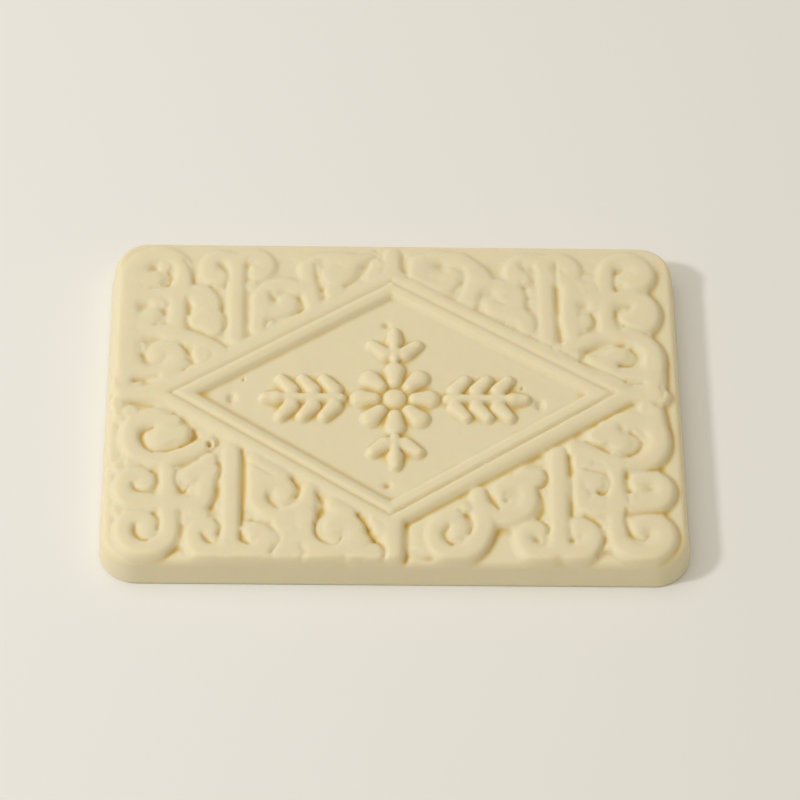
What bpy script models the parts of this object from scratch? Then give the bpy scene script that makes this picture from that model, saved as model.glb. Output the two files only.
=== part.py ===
"""Moulded white chocolate slab: a double-ridged lozenge, curls like fern heads in the four corners, and
a rosette with four leaf sprays in the middle. It is one solid with a flat base."""

import math

import bmesh
import bpy
from mathutils import Matrix, Vector

# Lengths are in millimetres up to the last step, which scales the finished mesh to metres.
METRES = 0.001

# Body. The ground is the flat level that the relief stands on.
LENGTH = 123.2
DEPTH = 85.2
GROUND = 6.7
DRAFT = 0.8  # how far the ground's edge lies inside the base's, on each side
CORNER_RADIUS = 7.4
CORNER_STEPS = 6
RIM_RADIUS = 1.6
RIM_STEPS = 3
BASE_CHAMFER = 0.5

# Where the pattern's own centre lies on the slab.
PATTERN_X = -0.3
PATTERN_Y = 1.0

# Lozenge. The half diagonals are those of the groove between its two ridges.
LOZENGE_HALF_X = 46.9
LOZENGE_HALF_Y = 30.3
LOZENGE_SHIFT = (-0.1, -0.35)
FRAME_FOOT = 4.35  # from the groove to the outer foot of the outer ridge
FRAME_SINK = 1.0
# The frame's section from its outer foot to the field inside it, as steps inward with their rise.
FRAME_SECTION = (
    (0.35, 0.75),
    (0.60, 0.60),
    (0.90, 0.25),
    (0.80, 0.05),
    (0.80, -0.05),
    (0.45, -0.28),
    (0.90, 0.00),
    (0.45, 0.28),
    (0.80, 0.05),
    (0.80, -0.05),
    (0.90, -0.25),
    (0.60, -0.50),
    (0.35, -0.60),
)

# Beads. A bead is a round tube pressed flat, with its centre line below the ground.
BEAD_SINK = 0.2
BEAD_FLATTEN = 0.64  # height of the tube over its width
BEAD_SIDES_RESOLUTION = 3
BEAD_SPREAD = 1.14  # tube radius over the half widths listed below, which are those of the crests
RIM_MARGIN = 0.3  # least distance from a bead's foot to the ground's edge
CURL_STEP = math.radians(30)
STEM_STEP = 9.0
END_REACH = 0.7  # the rounded end's reach and radius, over the bead's own radius
END_TAPER = 0.6
FLOOR_HEIGHT = 0.8  # raised floor inside each curl
FLOOR_SINK = 0.6
FLOOR_SIDES = 9
FLOOR_REACH = 0.75
FLOOR_NARROWING = 0.9  # radius at the top over that at the bottom

# Curls: centre, start and end angle in degrees, radii at even steps between them, and the half widths at
# the start and at the end.
CURLS = (
    # back right
    (51.6, 32.2, 190, -60, (5.4, 5.1, 4.7, 3.6, 1.9), 2.2, 2.8),
    (52.4, 21.4, 160, -140, (6.0, 4.6, 3.8, 3.4, 2.0), 2.2, 2.5),
    (50.0, 9.5, 115, -215, (6.2, 6.0, 5.6, 4.4, 4.8, 2.1), 2.2, 2.6),
    (40.8, 21.5, 60, 280, (5.0, 4.4, 3.0, 4.2, 2.4), 2.1, 2.4),
    (37.2, 32.8, 150, -110, (5.0, 3.8, 2.8, 2.4, 1.8), 2.1, 2.4),
    (28.2, 33.0, 30, 290, (4.9, 3.4, 2.7, 2.6, 1.6), 2.1, 2.3),
    (10.8, 32.8, 0, 330, (6.4, 4.5, 4.8, 5.4, 4.3, 2.2), 2.1, 2.8),
    (23.6, 25.4, 150, -124, (5.0, 4.3, 3.8, 4.0, 3.2), 2.1, 2.4),
    # back left
    (-51.2, 32.0, -20, 250, (6.1, 5.8, 5.2, 4.3, 2.2), 2.1, 2.7),
    (-52.8, 21.8, 40, 290, (6.3, 4.2, 4.2, 4.0, 2.2), 2.1, 2.6),
    (-50.2, 9.5, 65, 450, (6.2, 6.8, 5.6, 4.6, 4.0, 1.2), 2.2, 2.2),
    (-41.2, 21.6, 125, -105, (5.4, 4.8, 3.2, 4.6, 2.8), 2.1, 2.5),
    (-38.3, 32.8, 40, 290, (4.6, 3.9, 2.4, 2.6, 2.4), 2.1, 2.3),
    (-29.2, 33.6, 130, -80, (4.2, 3.0, 2.2, 1.8), 2.1, 2.4),
    (-24.2, 25.0, 40, 330, (5.0, 4.5, 4.2, 3.8, 1.8), 2.1, 2.5),
    (-12.2, 32.6, 175, -100, (6.0, 4.2, 4.6, 3.4, 2.4), 2.1, 2.7),
    # front left
    (-51.4, -35.0, 20, -310, (5.0, 5.0, 4.6, 4.4, 3.6, 1.5), 2.2, 2.2),
    (-52.2, -24.6, -30, -310, (5.8, 3.7, 4.2, 4.1, 3.4, 1.4), 2.2, 2.2),
    (-49.5, -11.5, -25, -300, (9.3, 6.8, 6.6, 6.6, 5.6, 3.2), 2.2, 2.4),
    (-41.6, -24.8, -125, 115, (5.0, 4.2, 2.8, 4.4, 3.2), 2.2, 2.2),
    (-38.3, -36.8, -45, -285, (4.4, 3.8, 3.0, 3.0, 2.2), 2.1, 2.2),
    (-28.6, -37.4, -140, 100, (4.2, 3.2, 2.6, 2.5, 2.0), 2.1, 2.4),
    (-23.8, -26.6, -40, -320, (5.6, 4.7, 4.3, 4.3, 3.4, 1.6), 2.2, 2.5),
    (-11.8, -35.6, 155, 455, (7.0, 6.4, 4.8, 5.4, 4.2, 1.6), 2.1, 2.8),
    # front right
    (51.8, -35.6, 175, 475, (5.8, 4.9, 4.4, 4.5, 3.9, 2.3), 2.3, 2.4),
    (52.3, -24.4, 210, 480, (6.2, 3.5, 3.9, 4.3, 3.4, 2.2), 2.2, 2.3),
    (49.6, -11.4, 240, 570, (7.2, 6.9, 6.6, 5.4, 4.8, 2.2), 2.2, 2.7),
    (41.6, -25.0, -45, -280, (5.2, 4.4, 3.1, 4.3, 2.5), 2.1, 2.4),
    (38.3, -37.0, 220, 455, (4.4, 3.2, 2.8, 3.0, 3.2), 2.1, 2.3),
    (29.4, -37.2, -40, -280, (4.4, 3.2, 2.7, 3.0, 2.5), 2.1, 2.2),
    (23.8, -26.8, 220, 500, (5.4, 4.8, 4.3, 4.2, 3.4, 2.2), 2.2, 2.2),
    (11.2, -35.8, 30, -340, (7.6, 6.0, 4.6, 5.2, 5.0, 4.3, 2.4), 2.2, 2.2),
)

# Stems: both ends, how far the middle bows to the left of the way from the first to the second, and the
# half widths at both ends.
STEMS = (
    # back right
    (46.4, 17.5, 46.3, 31.3, 0.2, 2.4, 2.2),
    (36.5, 12.2, 47.4, 15.1, 0.6, 2.0, 2.2),
    (43.0, 8.9, 45.9, 7.2, 0.0, 1.5, 2.4),
    (55.6, 9.0, 56.0, 3.8, 0.2, 2.4, 2.2),
    (32.5, 13.5, 32.8, 36.5, -0.1, 2.7, 2.5),
    (16.2, 24.5, 17.4, 31.5, -0.4, 2.4, 2.0),
    (5.5, 36.3, 5.3, 32.0, 0.0, 2.1, 2.2),
    (15.0, 37.0, 20.5, 30.8, 0.6, 1.9, 2.6),
    (18.3, 25.0, 19.5, 29.5, 0.0, 2.0, 2.4),
    (27.6, 25.0, 29.2, 17.6, 0.3, 2.3, 2.2),
    # back left
    (-46.5, 16.0, -46.0, 29.0, 0.2, 2.3, 2.2),
    (-37.5, 11.2, -47.6, 15.1, -0.6, 2.1, 2.2),
    (-57.0, 12.0, -56.8, 3.5, 0.3, 2.2, 2.0),
    (-40.6, 23.8, -40.2, 19.5, 0.0, 2.4, 2.5),
    (-33.4, 13.5, -33.6, 36.5, 0.0, 2.6, 2.4),
    (-17.3, 23.5, -18.6, 33.5, 0.0, 2.2, 2.2),
    (-28.6, 25.0, -29.0, 17.3, 0.0, 2.1, 2.1),
    (-10.0, 36.3, -4.6, 36.8, 0.0, 2.2, 1.4),
    # front left
    (-46.8, -19.0, -46.7, -33.0, 0.0, 2.3, 2.3),
    (-39.0, -13.0, -41.1, -15.4, 0.0, 1.9, 2.2),
    (-48.8, -11.3, -45.2, -11.0, 0.0, 2.8, 2.6),
    (-34.0, -15.5, -33.8, -38.5, 0.0, 2.7, 2.6),
    (-28.5, -27.0, -28.8, -20.8, 0.0, 2.1, 2.0),
    (-17.8, -25.3, -18.4, -33.0, 0.0, 2.0, 2.2),
    # front right
    (46.2, -18.5, 46.3, -34.5, 0.0, 2.3, 2.3),
    (37.8, -13.8, 46.0, -17.6, 0.3, 2.0, 2.2),
    (56.3, -10.0, 56.3, -5.0, 0.0, 2.3, 2.1),
    (34.3, -15.0, 33.8, -38.5, 0.0, 2.8, 2.7),
    (28.0, -25.0, 28.8, -20.6, 0.0, 2.2, 2.4),
    (17.6, -25.5, 18.2, -33.0, 0.0, 2.0, 2.2),
    (16.5, -38.5, 19.5, -33.5, 0.0, 2.2, 2.2),
    # bars from the lozenge's corners to the edges
    (-57.0, -0.7, -45.0, -0.5, 0.0, 2.4, 2.6),
    (57.0, -0.2, 45.0, 0.0, 0.0, 2.2, 2.4),
    (-0.3, 30.0, -0.3, 37.4, 0.0, 2.6, 2.5),
    (-0.5, -32.0, -0.5, -40.3, 0.0, 2.7, 2.7),
)

# Rosette and leaf sprays, on the field inside the lozenge.
ROSETTE_CENTRE = (0.3, -1.0)
PETALS = 8
PETAL_FROM = 4.4
PETAL_TO = 7.4
PETAL_HALF_WIDTHS = (1.2, 1.9)
BOSS_RADIUS = 2.2
BOSS_HEIGHT = 1.4
BOSS_SUBDIVISIONS = 2
SPRAY_FROM = 11.4
LEAF_PITCH = 4.6
LEAF_OFFSET = 0.3  # of the first pair from the spray's start, as a part of the pitch
LEAF_ROOT = 2.1  # from the spray's line
LEAF_REACH = (2.2, 2.7)  # of a leaf, along the spray and away from it
LEAF_HALF_WIDTHS = (1.5, 1.1)
SPRAY_HALF_WIDTH = 0.9
TIP_LENGTH = 2.4
TIP_HALF_WIDTHS = (1.5, 1.0)
# Each spray's direction in degrees and its pairs of leaves.
SPRAYS = ((0, 3), (90, 1), (180, 3), (270, 1))

# Holes pricked in the field.
HOLES = ((-34.3, -1.1), (31.1, -2.1), (-1.5, 18.7), (-1.4, -23.1))
HOLE_RADIUS = 0.65  # at the field's level
HOLE_FLARE = 0.26  # how much wider than that a hole is its own depth above the field, and narrower below
HOLE_DEPTH = 1.0
HOLE_SIDES = 8

# Vertices closer than this are at the same place.
TOLERANCE = 1e-4

# Edges shorter than this are collapsed after the Booleans.
SLIVER = 0.005

SHARP_ANGLE = math.radians(40)
WHITE_CHOCOLATE = (0.738, 0.638, 0.402, 1.0)
ROUGHNESS = 0.42
SUBSURFACE = 0.3
SUBSURFACE_SCALE = 0.002  # metres


def clear_scene():
    for obj in list(bpy.data.objects):
        bpy.data.objects.remove(obj, do_unlink=True)


def add_object(name, bm, collection):
    """The bmesh as a new object of the collection."""
    bmesh.ops.recalc_face_normals(bm, faces=bm.faces)
    mesh = bpy.data.meshes.new(name)
    bm.to_mesh(mesh)
    bm.free()
    obj = bpy.data.objects.new(name, mesh)
    collection.objects.link(obj)
    return obj


def bevel(bm, edges, offset, segments):
    bmesh.ops.bevel(
        bm,
        geom=edges,
        offset=offset,
        segments=segments,
        affect="EDGES",
        profile=0.5,
        material=-1,
    )


def edges_at(bm, height):
    """The edges that lie level at this height."""
    return [edge for edge in bm.edges if all(abs(vert.co.z - height) < TOLERANCE for vert in edge.verts)]


def build_body(collection):
    """The rounded slab without its relief."""
    bm = bmesh.new()
    place = Matrix.Translation((0, 0, GROUND / 2)) @ Matrix.Diagonal((LENGTH, DEPTH, GROUND, 1))
    bmesh.ops.create_cube(bm, size=1, matrix=place)
    for vert in bm.verts:
        if vert.co.z > GROUND / 2:
            vert.co.x -= math.copysign(DRAFT, vert.co.x)
            vert.co.y -= math.copysign(DRAFT, vert.co.y)
    upright = [edge for edge in bm.edges if abs(edge.verts[0].co.z - edge.verts[1].co.z) > GROUND / 2]
    bevel(bm, upright, CORNER_RADIUS, CORNER_STEPS)
    bevel(bm, edges_at(bm, GROUND), RIM_RADIUS, RIM_STEPS)
    bevel(bm, edges_at(bm, 0), BASE_CHAMFER, 1)
    return add_object("chocolate_slab", bm, collection)


def build_lozenge(collection):
    """The double-ridged frame and the field inside it, inset step by step from the outer foot."""
    slant = math.hypot(LOZENGE_HALF_X, LOZENGE_HALF_Y)
    inradius = LOZENGE_HALF_X * LOZENGE_HALF_Y / slant
    scale = (inradius + FRAME_FOOT) / inradius
    centre_x = PATTERN_X + LOZENGE_SHIFT[0]
    centre_y = PATTERN_Y + LOZENGE_SHIFT[1]
    centre = Matrix.Translation((centre_x, centre_y, GROUND - FRAME_SINK))
    stretch = Matrix.Diagonal((LOZENGE_HALF_X * scale, LOZENGE_HALF_Y * scale, 1, 1))
    bm = bmesh.new()
    bmesh.ops.create_circle(bm, cap_ends=True, segments=4, radius=1, matrix=centre @ stretch)
    raised = bmesh.ops.extrude_face_region(bm, geom=list(bm.faces), use_keep_orig=True)["geom"]
    bmesh.ops.translate(
        bm,
        verts=[item for item in raised if isinstance(item, bmesh.types.BMVert)],
        vec=(0, 0, FRAME_SINK),
    )
    bmesh.ops.recalc_face_normals(bm, faces=bm.faces)
    top = max(bm.faces, key=lambda face: face.calc_center_median().z)
    for inward, rise in FRAME_SECTION:
        bmesh.ops.inset_region(bm, faces=[top], thickness=inward, depth=0, use_even_offset=True)
        bmesh.ops.translate(bm, verts=top.verts, vec=(0, 0, rise))
    return add_object("lozenge", bm, collection)


def smooth(values, at):
    """The value at this place of a smooth line through values at 0, 1, 2 and so on."""
    index = min(int(at), len(values) - 2)
    part = at - index
    before = values[index - 1] if index else 2 * values[0] - values[1]
    here = values[index]
    after = values[index + 1]
    beyond = values[index + 2] if index + 2 < len(values) else 2 * after - here
    slope = (after - before) / 2
    next_slope = (beyond - here) / 2
    rise = after - here
    square = 3 * rise - 2 * slope - next_slope
    cube = slope + next_slope - 2 * rise
    return here + part * (slope + part * (square + part * cube))


def curl_line(x, y, start, end, radii, first_width, last_width):
    """Points with half widths along a curl."""
    steps = round(abs(math.radians(end - start)) / CURL_STEP)
    line = []
    for step in range(steps + 1):
        part = step / steps
        angle = math.radians(start + (end - start) * part)
        radius = smooth(radii, part * (len(radii) - 1))
        place = Vector((x + radius * math.cos(angle), y + radius * math.sin(angle)))
        line.append((place, first_width + (last_width - first_width) * part))
    return line


def stem_line(x0, y0, x1, y1, bow, first_width, last_width):
    """Points with half widths along a stem. A bowed one has more of them."""
    start = Vector((x0, y0))
    way = Vector((x1, y1)) - start
    left = way.orthogonal().normalized()
    steps = 1 + math.ceil(way.length / STEM_STEP) if bow else 1
    line = []
    for step in range(steps + 1):
        part = step / steps
        place = start + way * part + left * (4 * bow * part * (1 - part))
        line.append((place, first_width + (last_width - first_width) * part))
    return line


def inside_rim(place, width):
    """The place, drawn in so that a bead of this half width there stands on the ground."""
    reach = (LENGTH / 2 - DRAFT, DEPTH / 2 - DRAFT)
    offset = (PATTERN_X, PATTERN_Y)
    kept = []
    for value, half, shift in zip(place, reach, offset):
        most = half - width - RIM_MARGIN
        kept.append(max(-most, min(most, value + shift)))
    return Vector(kept)


def with_round_ends(line):
    """The line with a narrower point beyond each end."""
    ends = []
    for (place, width), (inner, _) in ((line[0], line[1]), (line[-1], line[-2])):
        outward = (place - inner).normalized()
        ends.append((place + outward * width * END_REACH, width * END_TAPER))
    return [ends[0], *line, ends[1]]


def build_bead(name, line, floor, collection):
    """A flattened tube along the line, as a curve with a round bevel and filled caps, made a mesh."""
    curve = bpy.data.curves.new(name, "CURVE")
    curve.dimensions = "3D"
    curve.twist_mode = "Z_UP"
    curve.bevel_depth = BEAD_SPREAD
    curve.bevel_resolution = BEAD_SIDES_RESOLUTION
    curve.use_fill_caps = True
    spline = curve.splines.new("POLY")
    points = with_round_ends([(inside_rim(place, width), width) for place, width in line])
    spline.points.add(len(points) - 1)
    for point, (place, width) in zip(spline.points, points):
        point.co = (place.x, place.y, 0, 1)
        point.radius = width
    guide = bpy.data.objects.new(name, curve)
    bm = bmesh.new()
    bm.from_mesh(guide.to_mesh())
    guide.to_mesh_clear()
    bpy.data.objects.remove(guide)
    bmesh.ops.remove_doubles(bm, verts=bm.verts, dist=TOLERANCE)
    flat = Matrix.Diagonal((1, 1, BEAD_FLATTEN, 1))
    bm.transform(Matrix.Translation((0, 0, GROUND + floor - BEAD_SINK)) @ flat)
    return add_object(name, bm, collection)


def build_floor(name, x, y, radius, collection):
    """The raised floor inside a curl."""
    bm = bmesh.new()
    height = FLOOR_HEIGHT + FLOOR_SINK
    place = Matrix.Translation((PATTERN_X + x, PATTERN_Y + y, GROUND - FLOOR_SINK + height / 2))
    bmesh.ops.create_cone(
        bm,
        cap_ends=True,
        segments=FLOOR_SIDES,
        radius1=radius,
        radius2=radius * FLOOR_NARROWING,
        depth=height,
        matrix=place,
    )
    return add_object(name, bm, collection)


def rosette_lines():
    """The petals, and the stems and leaves of the sprays."""
    centre = Vector(ROSETTE_CENTRE)
    lines = []
    for petal in range(PETALS):
        turn = Matrix.Rotation(math.tau * petal / PETALS, 2)
        ends = (centre + turn @ Vector((PETAL_FROM, 0)), centre + turn @ Vector((PETAL_TO, 0)))
        lines.append(list(zip(ends, PETAL_HALF_WIDTHS)))
    for direction, pairs in SPRAYS:
        turn = Matrix.Rotation(math.radians(direction), 2)
        end = SPRAY_FROM + LEAF_PITCH * pairs
        stem = [centre + turn @ Vector((reach, 0)) for reach in (SPRAY_FROM, end, end + TIP_LENGTH)]
        lines.append([(place, SPRAY_HALF_WIDTH) for place in stem[:2]])
        lines.append(list(zip(stem[1:], TIP_HALF_WIDTHS)))
        for pair in range(pairs):
            for side in (-1, 1):
                root = Vector((SPRAY_FROM + LEAF_PITCH * (pair + LEAF_OFFSET), LEAF_ROOT * side))
                tip = root + Vector((LEAF_REACH[0], LEAF_REACH[1] * side))
                leaf = (centre + turn @ root, centre + turn @ tip)
                lines.append(list(zip(leaf, LEAF_HALF_WIDTHS)))
    return lines


def build_boss(field, collection):
    """The rosette's centre, a low dome."""
    bm = bmesh.new()
    centre = Vector(ROSETTE_CENTRE) + Vector((PATTERN_X, PATTERN_Y))
    place = Matrix.Translation((centre.x, centre.y, GROUND + field))
    shape = Matrix.Diagonal((BOSS_RADIUS, BOSS_RADIUS, BOSS_HEIGHT, 1))
    bmesh.ops.create_icosphere(bm, subdivisions=BOSS_SUBDIVISIONS, radius=1, matrix=place @ shape)
    return add_object("boss", bm, collection)


def build_holes(field, collection):
    bm = bmesh.new()
    for x, y in HOLES:
        place = Matrix.Translation((PATTERN_X + x, PATTERN_Y + y, GROUND + field))
        bmesh.ops.create_cone(
            bm,
            cap_ends=True,
            segments=HOLE_SIDES,
            radius1=HOLE_RADIUS - HOLE_FLARE,
            radius2=HOLE_RADIUS + HOLE_FLARE,
            depth=2 * HOLE_DEPTH,
            matrix=place,
        )
    return add_object("holes", bm, collection)


def apply_boolean(obj, operation, tools):
    """Joins the collection's objects to this one, or cuts them from it, and removes them."""
    modifier = obj.modifiers.new(operation, "BOOLEAN")
    modifier.operation = operation
    modifier.solver = "EXACT"
    modifier.use_self = operation == "UNION"
    modifier.operand_type = "COLLECTION"
    modifier.collection = tools
    graph = bpy.context.evaluated_depsgraph_get()
    joined = bpy.data.meshes.new_from_object(obj.evaluated_get(graph))
    obj.modifiers.clear()
    obj.data = joined
    for tool in list(tools.objects):
        bpy.data.objects.remove(tool, do_unlink=True)
    bpy.data.collections.remove(tools)


def finish_mesh(obj):
    """Collapses the slivers that the Booleans left, and scales the mesh to metres."""
    bm = bmesh.new()
    bm.from_mesh(obj.data)
    bmesh.ops.triangulate(bm, faces=bm.faces)
    bmesh.ops.dissolve_degenerate(bm, edges=bm.edges, dist=SLIVER)
    bm.transform(Matrix.Scale(METRES, 4))
    bm.to_mesh(obj.data)
    bm.free()


def chocolate_material():
    material = bpy.data.materials.new("white_chocolate")
    material.use_nodes = True
    shader = material.node_tree.nodes["Principled BSDF"]
    shader.inputs["Base Color"].default_value = WHITE_CHOCOLATE
    shader.inputs["Roughness"].default_value = ROUGHNESS
    shader.inputs["Subsurface Weight"].default_value = SUBSURFACE
    shader.inputs["Subsurface Scale"].default_value = SUBSURFACE_SCALE
    return material


def tool_collection(name):
    collection = bpy.data.collections.new(name)
    bpy.context.scene.collection.children.link(collection)
    return collection


def main():
    clear_scene()
    field = sum(rise for _, rise in FRAME_SECTION)
    relief = tool_collection("relief")
    slab = build_body(bpy.context.scene.collection)
    build_lozenge(relief)
    for index, curl in enumerate(CURLS):
        build_bead(f"curl_{index}", curl_line(*curl), 0, relief)
        radii = curl[4]
        build_floor(f"floor_{index}", curl[0], curl[1], FLOOR_REACH * sum(radii) / len(radii), relief)
    for index, stem in enumerate(STEMS):
        build_bead(f"stem_{index}", stem_line(*stem), 0, relief)
    for index, line in enumerate(rosette_lines()):
        build_bead(f"ornament_{index}", line, field, relief)
    build_boss(field, relief)
    apply_boolean(slab, "UNION", relief)
    holes = tool_collection("holes")
    build_holes(field, holes)
    apply_boolean(slab, "DIFFERENCE", holes)
    finish_mesh(slab)
    slab.data.shade_smooth()
    slab.data.set_sharp_from_angle(angle=SHARP_ANGLE)
    slab.data.materials.clear()
    slab.data.materials.append(chocolate_material())


main()
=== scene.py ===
"""A moulded white chocolate slab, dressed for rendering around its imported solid.

The moulded face is worked out as a height map of beads, creases and small flaws, and a fine net is laid
over it, folded over the rim and closed underneath. Lengths in the tables are in millimetres."""

import math

import bmesh
import bpy
import numpy as np
from mathutils import Matrix, Vector


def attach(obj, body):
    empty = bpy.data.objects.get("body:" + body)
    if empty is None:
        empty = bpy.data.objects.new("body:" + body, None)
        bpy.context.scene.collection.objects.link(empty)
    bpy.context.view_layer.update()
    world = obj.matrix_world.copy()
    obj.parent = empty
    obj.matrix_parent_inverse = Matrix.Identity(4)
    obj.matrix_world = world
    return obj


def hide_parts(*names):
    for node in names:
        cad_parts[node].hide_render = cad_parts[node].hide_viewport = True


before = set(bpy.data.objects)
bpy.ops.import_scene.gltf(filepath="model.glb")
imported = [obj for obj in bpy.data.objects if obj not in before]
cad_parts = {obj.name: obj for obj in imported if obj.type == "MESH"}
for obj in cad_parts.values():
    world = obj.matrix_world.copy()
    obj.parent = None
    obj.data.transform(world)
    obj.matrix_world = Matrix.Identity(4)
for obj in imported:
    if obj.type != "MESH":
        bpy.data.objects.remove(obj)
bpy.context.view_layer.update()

bl_info = {
    "name": "White Chocolate Slab",
    "version": (1, 0, 0),
    "blender": (4, 5, 0),
    "location": "View3D > Sidebar > Chocolate",
    "description": "Moulds a white chocolate slab with a lozenge and curls, and sets a plain stage for it",
    "category": "Add Mesh",
}

NODE = "chocolate_slab"
MM = 0.001

# The body, as in the part's source.
LENGTH = 123.2
DEPTH = 85.2
GROUND = 6.7
DRAFT = 0.8
CORNER_RADIUS = 7.4
RIM_RADIUS = 1.6
PATTERN_AT = (-0.3, 1.0)

# The net over the moulded face, and the rows that close it: outward from the rim's edge, and height.
NET_COLUMNS = 356
NET_ROWS = 246
SIDE_ROWS = ((0.16, 3.7), (0.42, 2.2), (0.66, 0.9), (0.72, 0.45), (0.60, 0.14), (0.25, 0.0), (-1.2, 0.0))

# The height map. Its ground is 0, and its pitch is finer than the net's.
PITCH = 0.16
MAP_HALF_SIZE = (63, 46)
BEAD_HEIGHT = 1.6
BEAD_FOOT = 0.35  # from a bead's listed half width to its foot
BROAD_BEAD = 2.55  # a bead this wide has its foot in its listed half width
BEAD_FULLNESS = (2.8, 0.6)  # powers of the bead's section: higher and lower make it fuller
BEAD_BLEND = 0.9
BLEND_ONSET = 4  # higher makes a bead blend in closer to its foot
OVER_BEADS = 0.03  # joined beads rise this far over a single one at most
CURL_STEP = 4  # degrees
STEM_STEP = 0.3
FIELD = 0.25
FLANK_TOPS = (1.1, 2.3)  # from the lozenge's lines to where the inner and the outer flank begin
FLANK_FEET = (3.3, 4.35)  # and to where they end
FLANK_FULLNESS = (2.2, 0.75)
RIDGE_BLEND = 0.15
GROOVE_HALF_WIDTH = 0.42
GROOVE_DEPTH = (0.5, 0.37)  # on the front sides and on the back sides
GROOVE_CHANGE = (-3, 3)  # the depth goes from one to the other between these two places
CRESTS = (1.0, 1.5)  # from the groove to the tops of the inner and the outer ridge
CROWN = 0.12  # how far the ridges fall away from their tops
PAD_REACH = 0.72  # of a curl's mean radius, without the last
PAD_HEIGHT = 1.12
PAD_EDGE = 1.25  # higher makes a pad's edge steeper
SOFT_BLEND = 0.3
CREASE_STEPS = 12  # for each of a crease's points
CREASE_END = 0.12  # share of a crease's length that keeps the narrow end's width
CREASE_REACH = 3  # half widths to either side
DIP_REACH = 3  # radii
CLOSING = 0.9  # radius of the ball that reaches the bottom of every gap
WEB_REACHES = (0.9, 1.4, 1.9)  # gaps between curls up to twice as wide are filled in part
WEB_HEIGHT = 0.9
LEDGE = (32.0, 37.5, 0.95)  # the ground rises towards the back edge: from here to here, and this high
SOFTNESS = 0.14
WANDER = 1.1  # breadth of the gentle unevenness
WANDER_HEIGHT = 0.02
SEED = 7
RELIEF_MARGIN = 2.2  # the relief rises within this from the rim's edge
# Painted shade in the creases and gaps: a deeper colour where a place lies below its surroundings, stronger
# to the right of what stands up and weaker towards the back.
SURROUNDINGS = 1.2  # how far round a place its depth is judged
PAINTED_SHADE_DEPTHS = (0.19, 0.54)  # that far below its surroundings the painted shade begins, and is full
PAINTED_SHADE_LEAN = 0.32  # how far the painted shade lies to the right of what stands up, away from the key light on the left
PAINTED_SHADE_FADE = (0.3, 25.0)  # share of the painted shade that is lost towards the back, and from where on

# The lozenge, corner by corner: the line that the outer flank follows, and the groove between the ridges.
LOZENGE = ((-46.7, 0.1), (-0.2, 29.7), (46.7, 0.3), (-0.5, -30.3))
GROOVE = ((-47.2, -0.2), (-0.3, 29.9), (46.9, 0.5), (-0.7, -31.1))

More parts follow.
